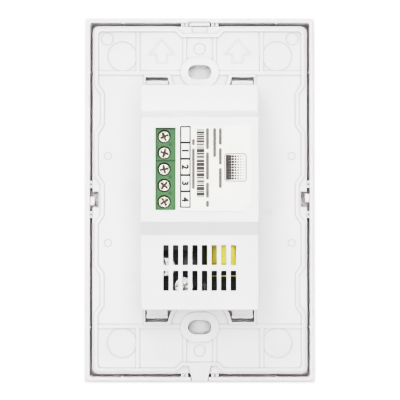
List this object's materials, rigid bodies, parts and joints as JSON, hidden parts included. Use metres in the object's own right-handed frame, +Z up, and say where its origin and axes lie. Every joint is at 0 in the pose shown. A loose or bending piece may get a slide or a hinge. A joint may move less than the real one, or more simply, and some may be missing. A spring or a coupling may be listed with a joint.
{
  "type": "touch switch",
  "caption": "Rectangular wall switch with a glass touch front, clip-on frame, slotted mounting plate, vented rear housing and rising-clamp screw terminals.",
  "frame": {"origin": "midway between the two box-screw slots, on the plane where the mounting plate's rear ribs meet the wall", "axes": "+Z up, as the arrows on the plate point; +Y out of the wall side, into the device box; -Y into the room; +X to the left when seen from the wall side, where the wires enter"},
  "size_m": [0.077, 0.0387, 0.1216],
  "materials": {
    "white_glass": "polished, printed white behind",
    "frosted_print": "frosted",
    "foam_tape": "foam",
    "white_abs": "fine satin",
    "paper_label": "satin film",
    "circuit_board": "solder mask",
    "green_nylon": "moulded",
    "tinned_brass": "tin plated",
    "plated_steel": "nickel plated",
    "black_plastic": "moulded",
    "ferrite": "sintered",
    "phenolic": "moulded",
    "yellow_tape": "polyester film",
    "sleeved_can": "shrunk sleeve",
    "aluminium_can": "drawn",
    "yellow_case": "moulded",
    "blue_epoxy": "dipped",
    "orange_epoxy": "dipped",
    "shield_steel": "tin plated",
    "ceramic_body": "fired",
    "clear_acrylic": "moulded clear",
    "conductive_foam": "open cell"
  },
  "bodies": {
    "base": {"mounting_plate": "white_abs", "rear_housing": "white_abs", "inner_cover": "white_abs", "rating_label": "paper_label", "power_board": "circuit_board", "touch_board": "circuit_board", "radio_board": "circuit_board", "terminal_block_2way": "green_nylon", "terminal_block_3way": "green_nylon", "terminal_contacts": "tinned_brass", "board_screws": "plated_steel", "relay_1": "black_plastic", "relay_2": "black_plastic", "transformer_core": "ferrite", "transformer_bobbin": "phenolic", "transformer_winding": "yellow_tape", "filter_capacitor": "sleeved_can", "output_capacitor": "aluminium_can", "standby_capacitor": "aluminium_can", "film_capacitor": "yellow_case", "varistor": "blue_epoxy", "fuse": "black_plastic", "choke": "ferrite", "bridge_rectifier": "black_plastic", "ceramic_capacitor": "orange_epoxy", "radio_shield": "shield_steel", "chip_antenna": "ceramic_body", "pin_header": "black_plastic", "header_socket": "black_plastic", "header_pins": "tinned_brass", "light_guides": "clear_acrylic", "led_chips": "ceramic_body", "touch_pads": "conductive_foam", "touch_chip": "black_plastic"},
    "front_panel": {"glass_panel": "white_glass", "touch_rings": "frosted_print", "adhesive_tape": "foam_tape", "panel_frame": "white_abs"},
    "screw_1": {"terminal_screw_1": "plated_steel"},
    "clamp_1": {"wire_clamp_1": "tinned_brass"},
    "screw_2": {"terminal_screw_2": "plated_steel"},
    "clamp_2": {"wire_clamp_2": "tinned_brass"},
    "screw_3": {"terminal_screw_3": "plated_steel"},
    "clamp_3": {"wire_clamp_3": "tinned_brass"},
    "screw_4": {"terminal_screw_4": "plated_steel"},
    "clamp_4": {"wire_clamp_4": "tinned_brass"},
    "screw_5": {"terminal_screw_5": "plated_steel"},
    "clamp_5": {"wire_clamp_5": "tinned_brass"}
  },
  "joints": [
    {"name": "panel_pull", "type": "slide", "parent": "base", "child": "front_panel", "axis": [0, -1, 0], "range_m": [0, 0.02]},
    {"name": "screw_turn_1", "type": "hinge", "parent": "base", "child": "screw_1", "pos_m": [0.01107, 0.0205, 0.01883], "axis": [0, -1, 0], "range_deg": [0, 1440]},
    {"name": "clamp_rise_1", "type": "slide", "parent": "base", "child": "clamp_1", "axis": [0, 1, 0], "range_m": [0, 0.002]},
    {"name": "screw_turn_2", "type": "hinge", "parent": "base", "child": "screw_2", "pos_m": [0.01107, 0.0205, 0.01375], "axis": [0, -1, 0], "range_deg": [0, 1440]},
    {"name": "clamp_rise_2", "type": "slide", "parent": "base", "child": "clamp_2", "axis": [0, 1, 0], "range_m": [0, 0.002]},
    {"name": "screw_turn_3", "type": "hinge", "parent": "base", "child": "screw_3", "pos_m": [0.01107, 0.0205, 0.00867], "axis": [0, -1, 0], "range_deg": [0, 1440]},
    {"name": "clamp_rise_3", "type": "slide", "parent": "base", "child": "clamp_3", "axis": [0, 1, 0], "range_m": [0, 0.002]},
    {"name": "screw_turn_4", "type": "hinge", "parent": "base", "child": "screw_4", "pos_m": [0.01107, 0.0205, 0.00359], "axis": [0, -1, 0], "range_deg": [0, 1440]},
    {"name": "clamp_rise_4", "type": "slide", "parent": "base", "child": "clamp_4", "axis": [0, 1, 0], "range_m": [0, 0.002]},
    {"name": "screw_turn_5", "type": "hinge", "parent": "base", "child": "screw_5", "pos_m": [0.01107, 0.0205, -0.00149], "axis": [0, -1, 0], "range_deg": [0, 1440]},
    {"name": "clamp_rise_5", "type": "slide", "parent": "base", "child": "clamp_5", "axis": [0, 1, 0], "range_m": [0, 0.002]}
  ],
  "couplings": [
    {"joint": "screw_turn_1", "follows": "clamp_rise_1", "rad_per_m": 12566},
    {"joint": "screw_turn_2", "follows": "clamp_rise_2", "rad_per_m": 12566},
    {"joint": "screw_turn_3", "follows": "clamp_rise_3", "rad_per_m": 12566},
    {"joint": "screw_turn_4", "follows": "clamp_rise_4", "rad_per_m": 12566},
    {"joint": "screw_turn_5", "follows": "clamp_rise_5", "rad_per_m": 12566}
  ]
}
